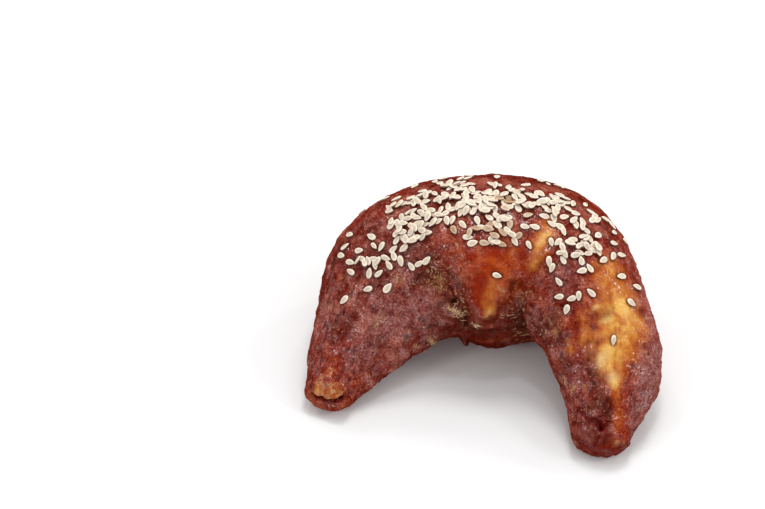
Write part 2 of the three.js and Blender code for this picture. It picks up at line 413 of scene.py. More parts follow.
# grooves: the places that they run through, half width, depth
GROOVES = [
    ([(-0.58, 67), (-0.5, 65), (-0.42, 65), (-0.37, 68), (-0.31, 73)], 1.4, 0.6),
    ([(-0.42, 42), (-0.35, 62), (-0.3, 78), (-0.22, 96)], 1.0, 0.9),
    ([(-0.3, 88), (-0.12, 92), (0.1, 90), (0.28, 88)], 0.9, 0.45),
    ([(-0.2, 99), (0.05, 99), (0.28, 97)], 1.3, 1.0),
    ([(0.33, 60), (0.35, 80), (0.365, 92)], 1.0, 0.7),
    ([(0.35, 88), (0.37, 106), (0.395, 124), (0.42, 150)], 4.2, 2.0),
    ([(0.95, 52), (0.975, 38), (0.993, 22), (1.0, 4), (1.0, -10)], 0.7, 0.7),
    ([(0.62, -9), (0.655, -2), (0.66, 6)], 0.8, 0.3),
]
# pits, knobs and small hollows: along, around, reach in millimetres, rise
KNOBS = [
    (-0.35, 71, 1.3, -2.4), (0.25, 55, 0.9, -0.5), (-0.785, 4, 1.4, -0.6), (0.64, 1, 1.0, -0.35),
    (0.87, 37, 0.7, -0.5), (-0.88, 94, 0.8, -0.5), (-0.55, 62, 0.8, -0.4), (0.68, 118, 1.8, 0.5),
    (0.98, 100, 4.5, 1.3), (1.0, -88, 3.2, 1.5), (1.0, 140, 3.2, 1.2), (0.38, 152, 9.0, -2.6),
    (0.62, -14, 0.6, 0.25), (0.71, -20, 0.5, 0.25), (0.76, -24, 0.5, 0.2), (-0.45, 48, 0.8, 0.4),
    (0.8, -98, 2.0, 0.7), (-0.62, 112, 2.4, 0.6), (0.18, 126, 3.6, 1.1), (0.03, 120, 3.2, -0.6),
]
# a drop standing out low on the belly, on the side of the bay
DRIP = {"along": -0.21, "around": 121, "reach": 1.45, "rise": 2.7}


def dryness(along, around):
    """1 where the wrap is dry and wrinkled, towards 0 on the smooth glossy middle and over amber places."""
    return 1 - 0.85 * strongest(along, around, SMOOTH)


def crease_nearness(along, around):
    """1 in the creases and where the wrap is puckered, 0 away from them."""
    near = [
        bell(line_distance(along, around, start, end), width * CREASE_SPREAD)
        for start, end, width, _ in CREASES
    ]
    return np.maximum(np.max(near, axis=0), strongest(along, around, PUCKERS))


def lengthways(along, around):
    """Coordinates in millimetres along and across the crescent, for whatever is drawn out along it."""
    turn = np.radians(around)
    return np.stack([along * MM_ALONG, FIBRE_RADIUS * np.cos(turn), FIBRE_RADIUS * np.sin(turn)], -1)


def fine_relief(along, around, points):
    """Wrinkles, fibres, puckers and pits in millimetres, on top of the form's relief."""
    dry = dryness(along, around)
    crease = crease_nearness(along, around)
    fibres = lengthways(along, around) / np.array([FIBRE[0], FIBRE[1], FIBRE[1]])
    rise = (0.10 + 0.22 * dry) * layered_noise(points / WRINKLE_SIZE, seed=37, layers=2)
    ridges = smooth_step(0.45, 1.0, ridged_noise(points / WRINKLE_SIZE, seed=41))
    rise = rise + (0.04 + 0.16 * dry) * (ridges - 0.3)
    rise = rise + (0.03 + 0.03 * dry) * layered_noise(fibres, seed=43, layers=2)
    rise = rise + 0.5 * crease * (ridged_noise(points / PUCKER_SIZE, seed=47) - 0.6)
    rise = rise - 0.28 * dry * smooth_step(0.42, 0.75, layered_noise(points / PIT_SIZE, seed=53, layers=2))
    wander = points / GROOVE_BEND
    bent_along = along + GROOVE_WANDER[0] * layered_noise(wander, seed=61, layers=2)
    bent_around = around + GROOVE_WANDER[1] * layered_noise(wander, seed=67, layers=2)
    for places, half_width, depth in GROOVES:
        rise = rise - depth * bell(path_distance(bent_along, bent_around, places), half_width)
    for at, degrees, reach, height in KNOBS:
        rise = rise + height * bell(distance_to(skin_point(at, degrees), points), reach)
    from_drip = distance_to(skin_point(DRIP["along"], DRIP["around"]), points)
    rise = rise + DRIP["rise"] * bell((from_drip / DRIP["reach"]) ** 2, 1.0)
    for places, half_width, strength in STREAKS["tan"]:
        rise = rise + 0.5 * strength * bell(path_distance(along, around, places), half_width)
    return rise


def slow_relief(points):
    return 0.40 * layered_noise(points / SLOW_SIZE, seed=31, layers=2)


# ---------------------------------------------------------------- ends of the horns

# On the left nose the wrap ends in a thin flap above a slit: its height, slope, half length and middle
SLIT = {"height": 5.8, "slope": 0.12, "half_length": 4.4, "middle": 0.4}
# Spots of the right nose: past, around, reach, rise, tone, strength. The mauve spot is painted sheen, the
# dark spots in dents are painted shade, and the cream spot at -78 degrees is a painted highlight.
NOSE_SPOTS = [
    (0.5, -9, 1.5, -2.2, "blood", 1.0), (0.9, -7, 0.8, -0.6, "dark", 0.8), (2.3, -10, 1.1, 0.7, "mauve_sheen", 1.0),
    (2.3, -8, 0.35, 0.1, "cream", 0.6), (1.4, 30, 1.0, -0.4, "dark", 0.4), (1.8, -62, 0.9, 0.4, "tan", 0.7),
    (2.0, 105, 0.8, 0.3, "tan", 0.45), (2.6, -84, 1.2, 0.3, "orange", 0.7),
    (0.6, -78, 0.7, 0.3, "cream", 0.6), (3.4, -40, 1.0, -0.3, "dark", 0.4),
    (2.6, 60, 1.2, 0.3, "orange", 0.3), (3.3, 150, 1.2, 0.3, "orange", 0.4), (0.4, 120, 0.7, 0.2, "tan", 0.4),
]

# millimetres from a tip's middle to where its dressing ends, and to where it is whole
TIP_REACH = (20.0, 14.0)


def at_tip(points, side):
    """The way out past one tip; then, for each point, its offset, how far past and across, and its share."""
    centre, outward, across = tip_axes(side)
    offset = points - centre
    share = smooth_step(*TIP_REACH, np.linalg.norm(offset, axis=-1))
    return outward, offset, offset @ outward, offset @ across, share


def dress_left_tip(points, masks):
    """Cut the slit of the left nose and swell the lip under it; points and masks are changed in place."""
    outward, _, past, sideways, share = at_tip(points, -1)
    near = smooth_step(-2.0, 1.2, past) * share
    edge = SLIT["height"] + SLIT["slope"] * sideways - 0.7 * smooth_noise(points / 2.2, seed=71)
    above = points[..., 2] - edge
    off_middle = (sideways - SLIT["middle"]) / SLIT["half_length"]
    above = above - off_middle**2
    inside = near * smooth_step(1.25, 0.85, np.abs(off_middle))
    push = -1.9 * bell(above, 0.5) * inside + 0.5 * bell(above - 1.1, 0.7) * inside
    push = push + 2.2 * bell(above + 2.6, 2.2) * near
    points += push[..., None] * outward
    flap = inside * smooth_step(0.2, 0.8, above) * smooth_step(8.0, 2.5, above)
    torn = smooth_step(-0.2, 0.3, smooth_noise(points / 1.5, seed=83))
    golden = flap * bell(sideways + 2.6, 1.3) * bell(above - 2.2, 1.8)
    lip = near * smooth_step(0.0, -1.0, above)
    raise_masks(
        masks,
        blood=0.9 * inside * bell(above + 0.1, 0.5),
        # dark in the slit is painted shade in the recess
        dark=0.7 * inside * bell(above + 0.1, 0.35),
        # tan and cream along the flap's edge are a pale rim, partly painted highlight
        tan=np.maximum(0.8 * inside * bell(above - 0.6, 0.3), 0.4 * flap) * torn,
        cream=0.5 * inside * bell(above - 0.55, 0.25) * torn,
        orange=np.maximum(0.65 * flap, 0.6 * lip),
        amber=np.maximum(0.55 * golden, 0.22 * flap),
        ember=0.35 * lip,
    )
    masks["mauve_sheen"] = masks["mauve_sheen"] * (1 - 0.8 * np.maximum(lip, flap))


def dress_right_tip(points, masks):
    """Crack the wrap round the right nose and add its spots; points and masks are changed in place."""
    outward, offset, past, sideways, share = at_tip(points, 1)
    near = smooth_step(-1.0, 1.5, past) * share
    bend = 1.1 * smooth_noise(points / 3.5, seed=79)
    crack = bell(past - 0.3 + bend, 0.5) * smooth_step(2.6, 0.2, sideways)
    crack = crack * smooth_step(4.0, 9.0, points[..., 2]) * share
    push = 0.6 * near * smooth_noise(points / 2.4, seed=73) - 0.9 * crack
    swell = np.zeros(push.shape)
    raise_masks(masks, blood=np.maximum(0.6 * crack, 0.3 * near), ember=0.3 * near)
    masks["mauve_sheen"] = masks["mauve_sheen"] * (1 - 0.7 * near)
    masks["dry"] = masks["dry"] * (1 - 0.6 * near)
    for past_tip, around, reach, rise, tone, strength in NOSE_SPOTS:
        spot = nose_points(1, past_tip, np.array([float(around)]))[0, 0]
        mark = bell(distance_to(spot, points), reach)
        swell = swell + rise * mark
        raise_masks(masks, **{tone: strength * mark})
    from_middle = offset / np.linalg.norm(offset, axis=-1, keepdims=True)
    points += push[..., None] * outward + swell[..., None] * from_middle


# ---------------------------------------------------------------- the skin's mesh

RINGS = 322
RING_POINTS = 280


def grid_faces(rings, ring_points):
    """Quads between neighbouring rings of a closed tube, pointing outwards."""
    r, i = np.meshgrid(np.arange(rings - 1), np.arange(ring_points), indexing="ij")
    here, after = r * ring_points, (i + 1) % ring_points
    quads = [here + i, here + after, here + ring_points + after, here + ring_points + i]
    return np.stack(quads, -1).reshape(-1, 4).tolist()


def tube_faces(rings, ring_points):
    """The same, closed at both ends on two points that come after all the rings."""
    faces = grid_faces(rings, ring_points)
    first, last = rings * ring_points, (rings - 1) * ring_points
    for i in range(ring_points):
        after = (i + 1) % ring_points
        faces.append([first, after, i])
        faces.append([first + 1, last + i, last + after])
    return faces


def set_attribute(mesh, name, values, kind="FLOAT", field="value"):
    layer = mesh.attributes.new(name, kind, "POINT")
    layer.data.foreach_set(field, np.ascontiguousarray(values, np.float32).ravel())


def shown_mesh(name, points, faces):
    """A smooth-shaded object from points in millimetres."""
    mesh = bpy.data.meshes.new(name)
    mesh.from_pydata((points * MM).tolist(), [], faces)
    mesh.validate()
    mesh.polygons.foreach_set("use_smooth", [True] * len(mesh.polygons))
    piece = bpy.data.objects.new(name, mesh)
    bpy.context.scene.collection.objects.link(piece)
    return piece


def add_bake_map(mesh, rings, ring_points):
    """A UV map with along as u and around as v, with its seam underneath."""
    layer = mesh.uv_layers.new(name="OFBake")
    corners = np.empty(len(mesh.loops), np.int32)
    mesh.loops.foreach_get("vertex_index", corners)
    totals = np.empty(len(mesh.polygons), np.int32)
    mesh.polygons.foreach_get("loop_total", totals)
    face_of = np.repeat(np.arange(len(totals)), totals)
    ring = np.minimum(corners // ring_points, rings - 1)
    v = ((corners % ring_points + ring_points // 2) % ring_points) / ring_points
    low, high = np.zeros((2, len(totals)), bool)
    np.logical_or.at(low, face_of, v < 0.25)
    np.logical_or.at(high, face_of, v > 0.75)
    v = np.where((low & high)[face_of] & (v < 0.25), v + 1.0, v)
    uv = 0.01 + 0.98 * np.stack([ring / (rings - 1), v], -1)
    layer.data.foreach_set("uv", uv.astype(np.float32).ravel())


def with_ends(values):
    """One value for each point of the tube, with the two end points taking their neighbours' mean."""
    ends = np.stack([values[0].mean(0), values[-1].mean(0)])
    return np.concatenate([values.reshape((-1,) + values.shape[2:]), ends])


def make_skin(shift, seeds):
    """The wrapped crescent as one closed tube with both noses, and the masks that paint it."""
    around = turn_between(np.arange(RING_POINTS) * 360.0 / RING_POINTS, 0.0)
    along = np.linspace(-1, 1, RINGS)
    grid_along, grid_around = np.meshgrid(along, around, indexing="ij")
    base = skin_point(grid_along, grid_around)
    fine = fine_relief(grid_along, grid_around, base)
    extra = fine + slow_relief(base)
    left = nose_points(-1, NOSE_STEPS[:0:-1], around, extra[0])
    right = nose_points(1, NOSE_STEPS[1:], around, extra[-1])
    points = np.concatenate([left, skin_point(grid_along, grid_around, extra), right])
    padding = ((len(left), len(right)), (0, 0))
    grids = (grid_along, grid_around, fine)
    grid_along, grid_around, fine = (np.pad(grid, padding, "edge") for grid in grids)
    masks = tone_masks(grid_along, grid_around, points)
    masks["dry"] = dryness(grid_along, grid_around)
    masks["crease"] = crease_nearness(grid_along, grid_around)
    # painted shade: 1 where the fine relief sinks 0.35 mm or more
    masks["hollow_shade"] = np.clip(-fine / 0.35, 0, 1)
    dress_left_tip(points, masks)
    dress_right_tip(points, masks)
    points += shift
    points[..., 2] = np.maximum(points[..., 2], 0.0)
    masks["seed_shade"] = paint_seed_shade(points, seeds)
    skin = shown_mesh("croissant_skin", with_ends(points), tube_faces(len(points), RING_POINTS))
    for name, values in masks.items():
        set_attribute(skin.data, name, with_ends(values))
    drawn_out = with_ends(lengthways(grid_along, grid_around) * MM)
    set_attribute(skin.data, "lengthways", drawn_out, "FLOAT_VECTOR", "vector")
    add_bake_map(skin.data, len(points), RING_POINTS)
    return skin


# ---------------------------------------------------------------- node helpers


def srgb(red, green, blue):
    """A colour given as 0 to 255 on screen, as the linear values that a shader takes."""
    values = [c / 255 for c in (red, green, blue)]
    return tuple(c / 12.92 if c <= 0.04045 else ((c + 0.055) / 1.055) ** 2.4 for c in values) + (1.0,)


class Shader:
    """A material's node tree, built by short calls."""

    def __init__(self, name):
        self.material = bpy.data.materials.new(name)
        self.material.use_nodes = True
        self.tree = self.material.node_tree
        self.surface = self.tree.nodes["Principled BSDF"]

    def feed(self, socket, value):
        if isinstance(value, bpy.types.NodeSocket):
            self.tree.links.new(value, socket)
        else:
            socket.default_value = value

    def node(self, kind, inputs=(), **settings):
        made = self.tree.nodes.new(kind)
        for key, value in settings.items():
            setattr(made, key, value)
        for key, value in dict(inputs).items():
            self.feed(made.inputs[key], value)
        return made

    def mask(self, name):
        return self.node("ShaderNodeAttribute", attribute_name=name).outputs["Fac"]

    def place(self):
        return self.node("ShaderNodeTexCoord").outputs["Object"]

    def fibre_place(self, stretch):
        """Lengthways coordinates, squeezed so that what is drawn with them comes out stretched."""
        lie = self.node("ShaderNodeAttribute", attribute_name="lengthways").outputs["Vector"]
        return self.by_parts(lie, (1 / stretch, 1.0, 1.0))

    def noise(self, size, detail=3.0, roughness=0.55, place=None):
        """Noise whose features measure about size millimetres."""
        inputs = {"Vector": place or self.place(), "Scale": 1 / (size * MM), "Detail": detail}
        inputs["Roughness"] = roughness
        return self.node("ShaderNodeTexNoise", inputs).outputs["Fac"]

    def math(self, operation, a, b=0.0):
        return self.node("ShaderNodeMath", {0: a, 1: b}, operation=operation).outputs[0]

    def fold(self, operation, first, *others):
        """Several values joined by one operation, from the left."""
        for other in others:
            first = self.math(operation, first, other)
        return first

    times = functools.partialmethod(fold, "MULTIPLY")
    plus = functools.partialmethod(fold, "ADD")
    most = functools.partialmethod(fold, "MAXIMUM")

    def by_parts(self, a, b):
        """Two colours or vectors, multiplied part by part."""
        return self.node("ShaderNodeVectorMath", {0: a, 1: b}, operation="MULTIPLY").outputs["Vector"]

    def spread(self, value, low, high, to_low=0.0, to_high=1.0):
        """value, from low to high, spread softly over to_low to to_high."""
        inputs = {"Value": value, "From Min": low, "From Max": high, "To Min": to_low, "To Max": to_high}
        return self.node("ShaderNodeMapRange", inputs, interpolation_type="SMOOTHSTEP").outputs["Result"]

    def mix(self, factor, a, b):
        made = self.node("ShaderNodeMix", data_type="RGBA")
        for socket, value in zip((made.inputs[0], made.inputs[6], made.inputs[7]), (factor, a, b)):
            self.feed(socket, value)
        return made.outputs[2]

    def bump(self, height, strength, distance, normal=None):
        inputs = {"Height": height, "Strength": strength, "Distance": distance * MM}
        if normal is not None:
            inputs["Normal"] = normal
        return self.node("ShaderNodeBump", inputs).outputs["Normal"]

    def put(self, **inputs):
        for key, value in inputs.items():
            self.feed(self.surface.inputs[key.replace("_", " ")], value)


# ---------------------------------------------------------------- materials

MEAT = srgb(138, 64, 52)
MEAT_DEEP = srgb(90, 26, 22)
MEAT_LIGHT = srgb(172, 98, 84)
MEAT_RED = srgb(136, 40, 30)
ORANGE = srgb(144, 38, 8)
ORANGE_LIGHT = srgb(174, 72, 22)
AMBER_EDGE = srgb(188, 104, 44)
AMBER = srgb(228, 170, 80)
CREAM = srgb(238, 202, 138)
# painted sheen
MAUVE_SHEEN = srgb(146, 90, 85)
# partly painted shade in folds, grooves and the slit
DARK = srgb(56, 22, 14)
# partly painted shade on the undersides
EMBER = srgb(72, 14, 2)
BLOOD = srgb(92, 8, 6)
TAN = srgb(200, 156, 104)
GOLD_SPECK = srgb(214, 166, 118)
# painted shade round the seeds' feet
SEED_SHADE = srgb(74, 30, 16)
# painted glints
GLINT_PAINT = srgb(222, 164, 132)
SEED_FACE = srgb(204, 190, 166)
SEED_RIM = srgb(246, 230, 212)
TOASTED_FACE = srgb(152, 116, 84)
TOASTED_RIM = srgb(196, 156, 118)
# painted shade at the seeds' edges
SEED_EDGE_SHADE = srgb(108, 66, 40)
FIBRE_GOLD = srgb(176, 112, 54)
FIBRE_PALE = srgb(238, 212, 176)


def wrap_colour(s):
    """Mottled red-brown, with painted mauve sheen, dark folds and undersides that are partly painted shade,
    painted shade in hollows and round the seeds, amber where the core shines through, and painted glints.
    """
    drawn_out = s.fibre_place(1.3)
    mottle, blotch = s.noise(1.9, 4.0, 0.6, drawn_out), s.noise(5.5, 3.0, 0.5)
    red, speck = s.noise(3.0, 4.0, 0.6, drawn_out), s.noise(0.75, 3.0, 0.7)
    colour = s.mix(s.spread(mottle, 0.38, 0.6), MEAT_DEEP, MEAT)
    colour = s.mix(s.spread(red, 0.48, 0.62, 0.0, 0.8), colour, MEAT_RED)
    colour = s.mix(s.spread(blotch, 0.48, 0.64, 0.0, 0.7), colour, MEAT_LIGHT)
    # painted shade in the hollows of the relief
    colour = s.mix(s.times(s.mask("hollow_shade"), 0.4), colour, MEAT_DEEP)
    # painted sheen: the wrap turns mauve where a soft reflection would fall
    colour = s.mix(s.times(s.mask("mauve_sheen"), s.spread(mottle, 0.36, 0.56, 0.3, 1.0)), colour, MAUVE_SHEEN)
    warm = s.mix(s.spread(blotch, 0.42, 0.66), ORANGE, ORANGE_LIGHT)
    colour = s.mix(s.times(s.mask("orange"), s.spread(mottle, 0.32, 0.5, 0.75, 1.0)), colour, warm)
    uneven = s.plus(s.spread(blotch, 0.3, 0.7, -0.25, 0.25), s.spread(mottle, 0.3, 0.7, -0.25, 0.25))
    shine = s.plus(s.mask("amber"), s.times(uneven, s.mask("amber")))
    colour = s.mix(s.spread(shine, 0.02, 0.5), colour, AMBER_EDGE)
    colour = s.mix(s.spread(shine, 0.35, 0.95), colour, AMBER)
    # dark and ember are partly painted shade, in folds and on the undersides
    for tone, paint in (("cream", CREAM), ("ember", EMBER), ("dark", DARK), ("tan", TAN)):
        colour = s.mix(s.mask(tone), colour, paint)
    gold = s.times(s.spread(speck, 0.66, 0.76, 0.0, 0.6), s.mask("dry"))
    threads = s.noise(1.1, 2.0, 0.6, s.fibre_place(2.0))
    strands = s.times(s.spread(threads, 0.57, 0.68), s.mask("crease"), 0.5)
    colour = s.mix(s.most(gold, strands), colour, GOLD_SPECK)
    # painted shade round the seeds' feet
    colour = s.mix(s.times(s.mask("seed_shade"), 0.7), colour, SEED_SHADE)
    colour = s.mix(s.mask("blood"), colour, BLOOD)
    # painted glints mixed over the painted shade
    return s.mix(painted_glint_squiggles(s), s.by_parts(colour, wrap_shade(s)), GLINT_PAINT)


def wrinkles(s, size, width=0.06):
    """1 along thin crooked lines, 0 between them."""
    wave = s.math("ABSOLUTE", s.math("SUBTRACT", s.noise(size, 2.0, 0.55), 0.5))
    return s.spread(wave, width, 0.0)


def roughened(s):
    """How much of the skin's texture shows: most where it is dry, little over amber and in dark folds."""
    evenness = s.spread(s.mask("amber"), 0.05, 0.4, 1.0, 0.15)
    open_skin = s.spread(s.most(s.mask("ember"), s.mask("dark")), 0.2, 0.8, 1.0, 0.5)
    dry = s.spread(s.mask("dry"), 0.0, 1.0, 0.2, 1.0)
    return s.times(dry, open_skin, evenness)


def painted_glint_crests(s):
    """Thin crooked crests, in patches, painted paler as glints."""
    patches = s.spread(s.noise(3.2, 2.0), 0.4, 0.58, 0.15, 1.0)
    return s.times(wrinkles(s, 1.3, 0.055), patches, roughened(s))


def painted_glint_squiggles(s):
    """Short pale squiggles painted as glints, few and far between."""
    few = s.spread(s.noise(1.2, 2.0), 0.56, 0.66, 0.0, 0.4)
    return s.times(wrinkles(s, 1.3, 0.035), few, roughened(s))


def wrap_shade(s):
    """How light the wrap is in red, green and blue, as painted shade and highlight: darker along wrinkle
    lines and pits, with grain, and paler on the painted glint crests.
    """
    lines = s.times(wrinkles(s, 1.5, 0.07), -0.3)
    pits = s.spread(s.noise(1.3, 3.0, 0.6, s.fibre_place(1.8)), 0.42, 0.28, 0.0, -0.5)
    grain = s.spread(s.noise(0.6, 2.0, 0.5), 0.3, 0.7, -0.2, 0.2)
    crests = s.times(painted_glint_crests(s), 0.7)
    dull = s.times(s.plus(lines, pits, grain), roughened(s))
    shade = s.plus(1.0, dull, crests)
    parts = {0: shade, 1: s.math("POWER", shade, 1.8), 2: s.math("POWER", shade, 2.0)}
    return s.node("ShaderNodeCombineXYZ", parts).outputs["Vector"]


def wrap_material():
    s = Shader("dried_meat")
    glaze = s.spread(s.noise(1.6, 2.0), 0.3, 0.7, 0.2, 0.34)
    edge = s.node("ShaderNodeLayerWeight", {"Blend": 0.5}).outputs["Facing"]
    rough = s.plus(glaze, s.spread(edge, 0.2, 0.6, 0.0, 0.6))
    folds = s.bump(s.noise(1.7, 2.0, 0.45), 1.0, 0.4)
    grain = s.bump(wrinkles(s, 1.4, 0.12), 0.6, 0.15, folds)
    s.put(Base_Color=wrap_colour(s), Roughness=rough, Normal=grain, Specular_IOR_Level=0.0)
    film = s.bump(s.noise(1.5, 1.0, 0.4), 1.0, 0.6)
    wet = s.spread(s.noise(3.2, 2.0), 0.45, 0.6, 0.1, 0.9)
    dull = s.most(s.mask("ember"), s.mask("dark"), s.mask("blood"))
    wet = s.times(wet, s.spread(s.mask("dry"), 0.1, 0.8, 0.4, 1.0), s.spread(dull, 0.1, 0.6, 1.0, 0.2))
    s.put(Coat_Weight=s.times(wet, s.spread(edge, 0.3, 0.65, 1.0, 0.0)))
    s.put(Coat_Roughness=0.05, Coat_Normal=film)
    return s.material


def seed_material():
    """Hulled sesame: a pale rim round a duller face, a thin brown band of painted shade round its edge, a few
    toasted.
    """
    s = Shader("sesame")
    plain = s.mix(s.mask("rim"), SEED_FACE, SEED_RIM)
    toasted = s.mix(s.mask("rim"), TOASTED_FACE, TOASTED_RIM)
    colour = s.mix(s.mask("edge_shade"), s.mix(s.mask("toast"), plain, toasted), SEED_EDGE_SHADE)
    s.put(Base_Color=colour, Roughness=0.45, Specular_IOR_Level=0.3)
    s.put(Normal=s.bump(s.noise(0.5, 2.0), 0.2, 0.08))
    return s.material


def fray_material():
    """Dried fibres, golden to nearly white."""
    s = Shader("fibres")
    s.put(Base_Color=s.mix(s.mask("pale"), FIBRE_GOLD, FIBRE_PALE), Roughness=0.3, Specular_IOR_Level=0.4)
    return s.material


# ---------------------------------------------------------------- seeds

SEED = {"length": 3.15, "width": 1.8, "thick": 0.75}
SEED_RINGS = 10
SEED_SIDES = 16
SEED_DRAWS = 5  # starts the random draws for the seeds
# Handfuls of seeds: along, around, how many
HANDFULS = [
    (-0.36, -27, 1), (-0.31, -40, 1), (-0.38, -40, 1), (-0.27, -35, 1), (-0.21, -32, 3), (-0.145, -31, 3),
    (0.12, -34, 4), (0.185, -39, 2), (0.33, -40, 2), (0.265, -31, 3), (0.325, -29, 5), (0.205, -19, 4),
    (0.25, -19, 2), (0.285, -17, 2), (0.31, -15, 2), (0.345, -21, 1), (0.36, -12, 3), (0.29, -9, 2),
    (0.12, -14, 3), (0.095, -13, 1), (0.05, -17, 1), (0.035, -11, 3), (0.065, -7, 3), (-0.01, -15, 2),
    (-0.04, -10, 2), (-0.09, -8, 2), (-0.04, -3, 2), (-0.21, -18, 7), (-0.175, -13, 7), (-0.15, -10, 3),
    (-0.22, -7, 3), (-0.4, -20, 6), (-0.43, -25, 1), (-0.32, -20, 4), (-0.3, -18, 2), (-0.345, -12, 5),
    (-0.31, -13, 5), (-0.28, -14, 3), (-0.28, -6, 4), (-0.435, -10, 5), (-0.405, -5, 5), (-0.38, -8, 4),
    (-0.485, -6, 1), (-0.49, 2, 3), (-0.46, -1, 4), (-0.43, -2, 3), (-0.47, 6, 4), (-0.4, 3, 7),
    (-0.43, 10, 3), (-0.4, 9, 4), (-0.36, 2, 6), (-0.355, 8, 2), (-0.335, -3, 5), (-0.315, 3, 5),
    (-0.265, 6, 3), (-0.24, -2, 4), (-0.22, 3, 5), (-0.23, 9, 2), (-0.195, 1, 5), (-0.195, 10, 3),
    (-0.155, -3, 4), (-0.155, 5, 5), (-0.15, 11, 4), (-0.12, 2, 6), (-0.08, -2, 4), (-0.085, 4, 7),
    (-0.115, 9, 3), (-0.05, 10, 3), (-0.05, 2, 4), (-0.03, 5, 4), (-0.01, 10, 2), (0.005, 2, 4),
    (0.03, -4, 4), (0.04, 3, 4), (0.07, 4, 3), (0.045, 10, 1), (0.095, -2, 6), (0.13, 6, 2), (0.14, -4, 4),
    (0.165, -7, 3), (0.155, -13, 4), (0.2, -13, 5), (0.215, -9, 5), (0.23, -2, 5), (0.255, -4, 2),
    (0.185, 3, 4), (0.215, 6, 1), (0.165, 10, 1), (0.145, 14, 1), (0.285, -1, 2), (-0.09, 15, 2),
    (-0.02, 15, 2), (0.03, 15, 2), (-0.005, 20, 2), (-0.075, 21, 1), (-0.125, 20, 2), (0.1, 13, 1),
    (0.08, 19, 2), (0.045, 22, 1), (-0.06, 24, 1), (0.005, 24, 2), (-0.115, 25, 2), (0.12, 22, 1),
    (0.38, -7, 5), (0.405, -11, 5), (0.415, -4, 4), (0.35, -5, 4), (0.365, 0, 5), (0.39, 2, 3), (0.415, 4, 4),
    (0.36, 8, 3), (0.375, 14, 3), (-0.55, -17, 2), (-0.603, -16, 3), (-0.61, -9, 3), (-0.597, -1, 3),
    (-0.555, -1, 2), (-0.59, -41, 3), (0.0, -72, 2), (0.05, -70, 1), (-0.06, -79, 2), (-0.2, -68, 2),
    (-0.27, -76, 1), (-0.15, -70, 2), (0.2, -73, 2), (0.27, -73, 1), (0.13, -70, 2), (0.09, -88, 1),
    (-0.12, -93, 1), (-0.02, -68, 2), (0.33, -71, 2), (-0.35, -70, 2), (-0.43, -68, 1), (0.42, -70, 1),
    (0.16, -79, 1), (-0.3, -86, 1), (-0.09, -73, 1),
]
HANDFUL_REACH = (0.02, 3.0)  # along, and degrees around
# Seeds lying alone: along, around, and where the tip points (0 along, 90 around)
LONE_SEEDS = [
    (0.10, 51, 8), (0.735, -7, 5), (0.61, -31, -60), (0.518, 35, 110), (0.56, 19, 20), (0.553, 26, 95),
    (0.58, 34, 40), (0.565, 7.5, 150), (0.46, 29, 175), (0.39, 27, 60), (0.357, 25.5, 40), (0.218, 25, 35),
    (-0.745, -17, 210), (-0.685, 4, 232), (-0.643, 20, 3), (-0.655, -21, -80), (-0.62, 6, 20),
    (0.475, 8, 100), (0.457, -25, 50), (0.526, -26, 95), (0.55, -43, 100), (-0.516, 25, -80),
    (-0.482, 28, 15), (-0.443, 30, -5), (-0.575, 9.6, -70), (-0.538, 8.5, -60), (-0.532, 15.6, 125),
    (0.418, -31, -75), (0.38, -20, 80), (0.454, -35, -80), (0.464, -14, 80), (0.48, 1, 170), (0.3, 14, 35),
    (0.305, 2, 30), (-0.04, -27, 90), (-0.54, -43, 90), (0.375, -40, 80), (-0.625, -26, 85), (-0.58, -23, 65),
    (-0.55, -11, 105), (-0.585, -5, 60), (-0.37, 14, 30), (-0.235, 14, 120), (-0.3, 11, 0), (-0.36, 8, 20),
    (-0.24, 21, 80), (-0.185, 19, 60), (-0.165, 28, 10), (-0.135, 32, -10), (-0.05, 32, 5), (-0.005, 30, 60),
    (0.08, 22, 40), (0.14, 27, 40), (0.07, 31, 8), (0.39, -54, 95),
]
# Where seeds are toasted: along, around, reach along, reach around, share
TOASTED = [
    (-0.03, 26, 0.2, 9, 0.95), (0.0, 4, 0.06, 7, 0.3), (0.15, 9, 0.02, 3, 0.8), (-0.47, 7, 0.02, 4, 0.4),
]
SEED_GAP = 1.8  # a seed that falls nearer than this to others lies on them
SEED_CROWD = 1.1  # one that falls nearer than this, or higher than the last level, is left out
SEED_LEVELS = 2
SEED_STEP = 0.7  # how much higher each level is, as a share of a seed's thickness
SEED_SINK = 0.08
SEED_TILT = 0.08  # how much seeds tilt on the skin, and on other seeds
STACKED_TILT = 0.24
SEED_VARIETY = 0.06  # how much their sizes differ
# the brown side of a seed is painted shade at its edge
SEED_EDGE = 0.05  # millimetres above and below its middle where a seed's side is brown
# millimetres from a seed's middle line to where the painted shade on the skin round it is darkest, and to
# where it ends
SEED_SHADE_REACH = (0.85, 1.6)


